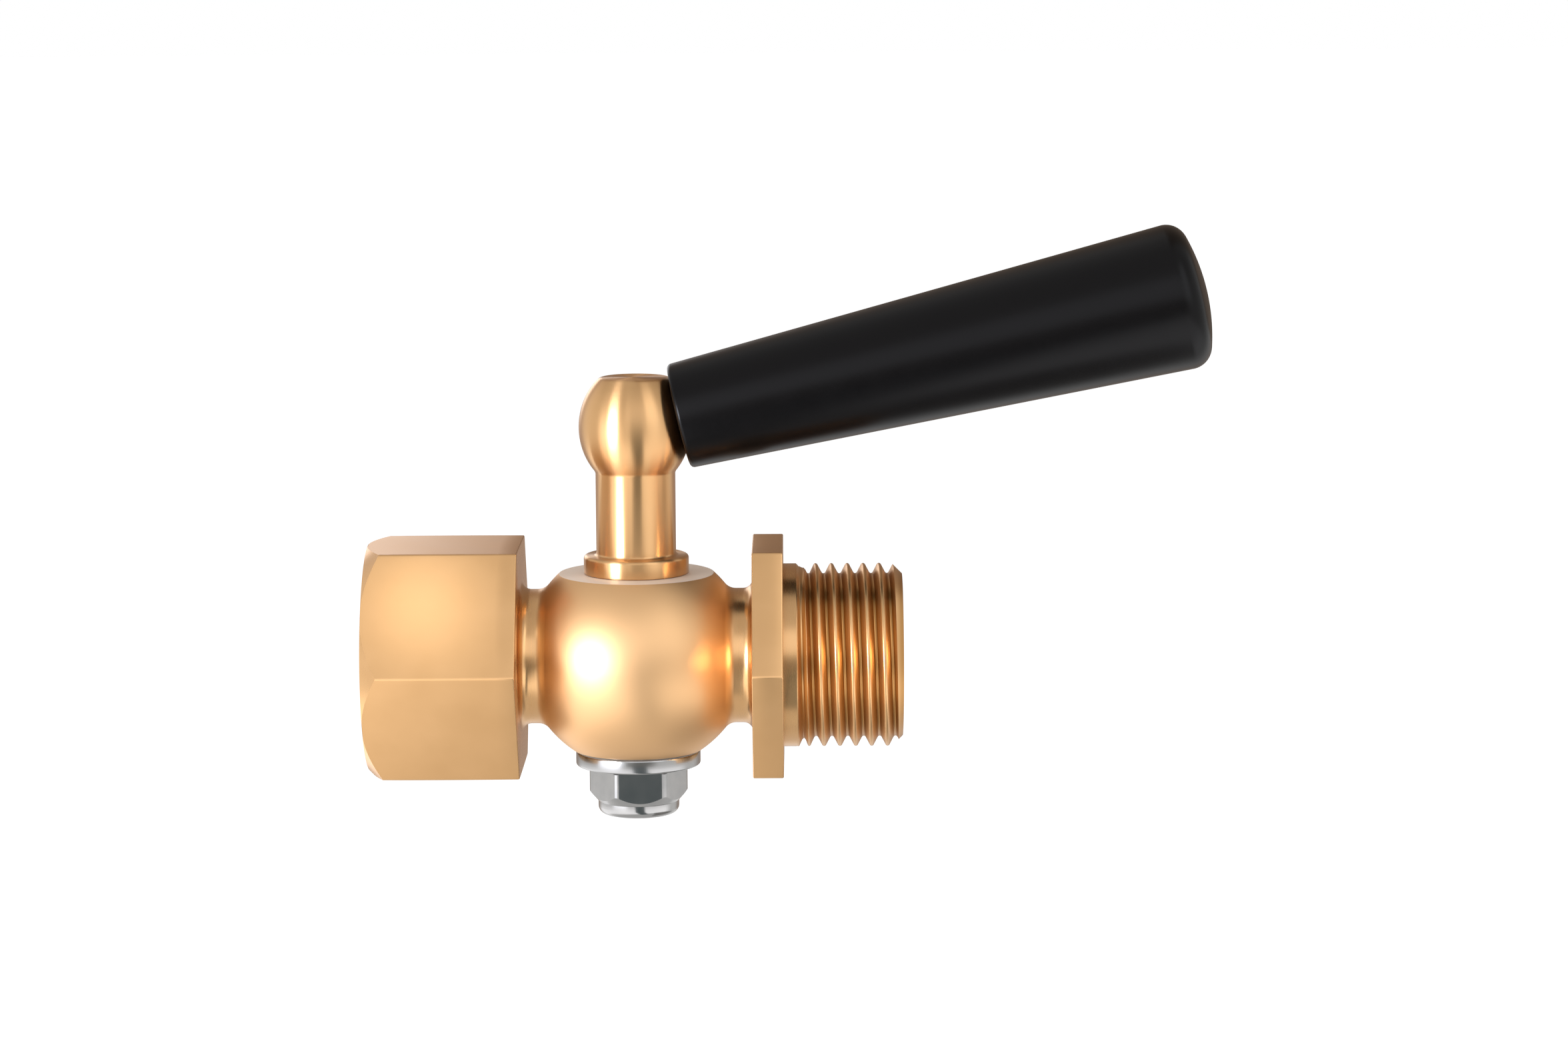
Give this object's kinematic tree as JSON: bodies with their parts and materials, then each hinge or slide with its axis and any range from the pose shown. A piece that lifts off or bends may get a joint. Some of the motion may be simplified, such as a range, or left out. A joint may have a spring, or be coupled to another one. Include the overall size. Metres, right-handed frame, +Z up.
{
  "type": "pressure gauge valve",
  "caption": "Brass plug valve for a pressure gauge: female hexagon, ball body with a turning plug, thin hexagon flange and male pipe thread, worked by a black tapered grip on a ball head.",
  "frame": {"origin": "centre of the flange's outer face, on the flow axis, where the male thread leaves the flange", "axes": "+X out of the male thread along the flow, +Z up along the plug towards the ball head; the grip lies above +X with the valve open"},
  "size_m": [0.0961, 0.03, 0.0672],
  "materials": {
    "body_brass": "bright machined and polished",
    "plug_brass": "bright turned",
    "stud_steel": "zinc plated",
    "grip_phenolic": "glossy black moulding",
    "washer_steel": "bright plated",
    "nut_steel": "bright plated",
    "insert_nylon": "natural"
  },
  "bodies": {
    "body": {"valve_body": "body_brass"},
    "lever": {"plug": "plug_brass", "handle_stud": "stud_steel", "handle_grip": "grip_phenolic", "thrust_washer": "washer_steel", "lock_nut": "nut_steel", "nut_insert": "insert_nylon"}
  },
  "joints": [
    {"name": "plug_turn", "type": "hinge", "parent": "body", "child": "lever", "pos_m": [-0.01675, 0, 0], "axis": [0, 0, 1], "continuous": true}
  ]
}
